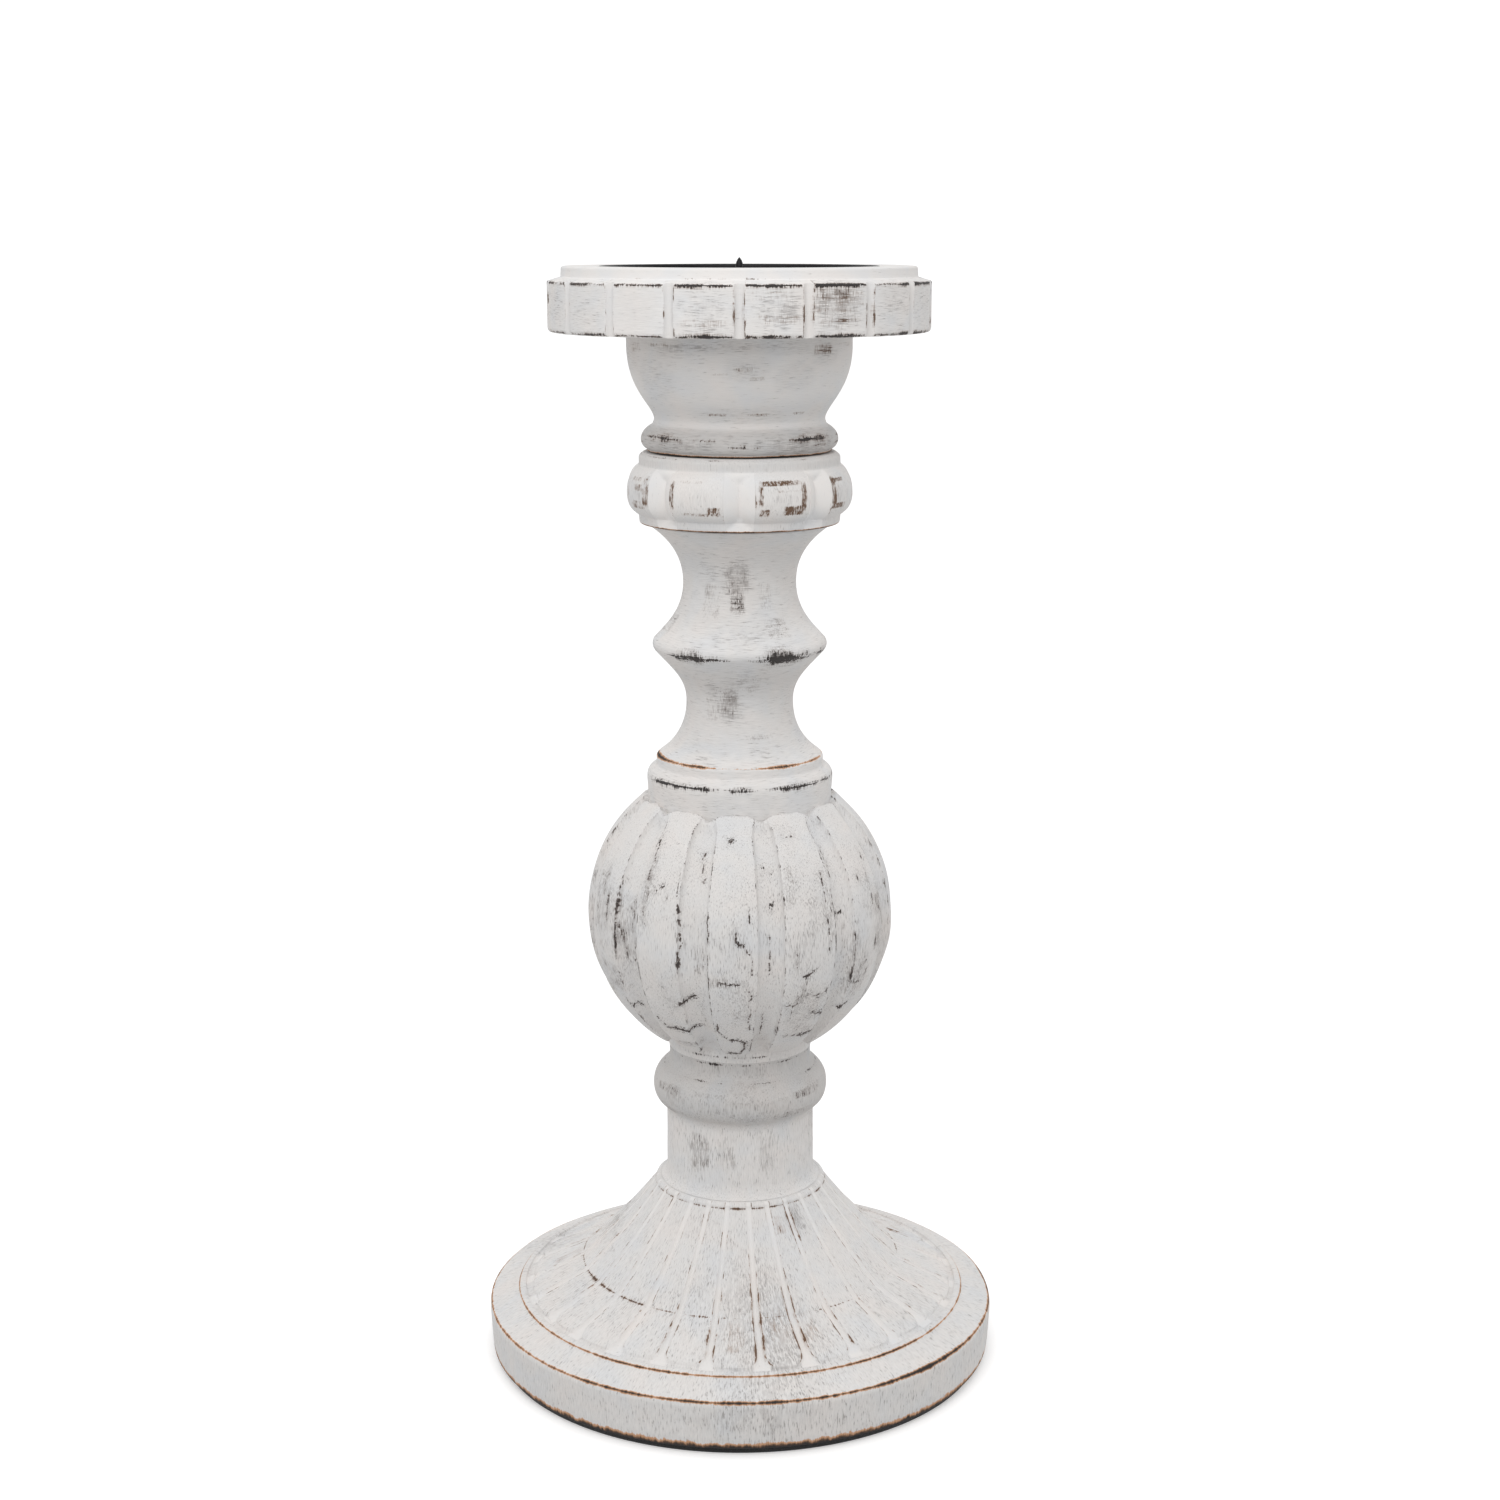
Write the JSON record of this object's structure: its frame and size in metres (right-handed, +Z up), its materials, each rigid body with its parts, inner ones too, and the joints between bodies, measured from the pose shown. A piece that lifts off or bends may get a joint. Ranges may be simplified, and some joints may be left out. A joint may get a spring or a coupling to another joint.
{
  "type": "wooden candlestick",
  "caption": "Tall turned and carved wooden candlestick with a flared grooved foot, lobed ball stem, notched plate and a recessed metal pan with a spike for a pillar candle.",
  "frame": {"origin": "centre of the flat face that the candlestick stands on", "axes": "+Z up along the turning axis; -Y is the front, where a plate notch and a band cut face the viewer; +X to the viewer's right"},
  "size_m": [0.14, 0.14, 0.299],
  "materials": {
    "painted_wood": "matte white chalk paint rubbed back to dark brown wood on edges and crests",
    "felt": "black felt",
    "black_iron": "satin black coated sheet iron",
    "zinc_steel": "zinc plated",
    "brassed_steel": "yellow passivated"
  },
  "bodies": {
    "root": {"base_pad": "felt", "base": "painted_wood", "lower_stem": "painted_wood", "ball": "painted_wood", "upper_stem": "painted_wood", "carved_band": "painted_wood", "cup": "painted_wood", "plate": "painted_wood", "drip_pan": "black_iron", "spike": "black_iron", "tie_rod": "zinc_steel", "bottom_washer": "zinc_steel", "bottom_nut": "zinc_steel", "top_washer": "zinc_steel", "top_nut": "zinc_steel", "plate_screw_1": "brassed_steel", "plate_screw_2": "brassed_steel", "plate_screw_3": "brassed_steel", "plate_screw_4": "brassed_steel"}
  },
  "joints": []
}
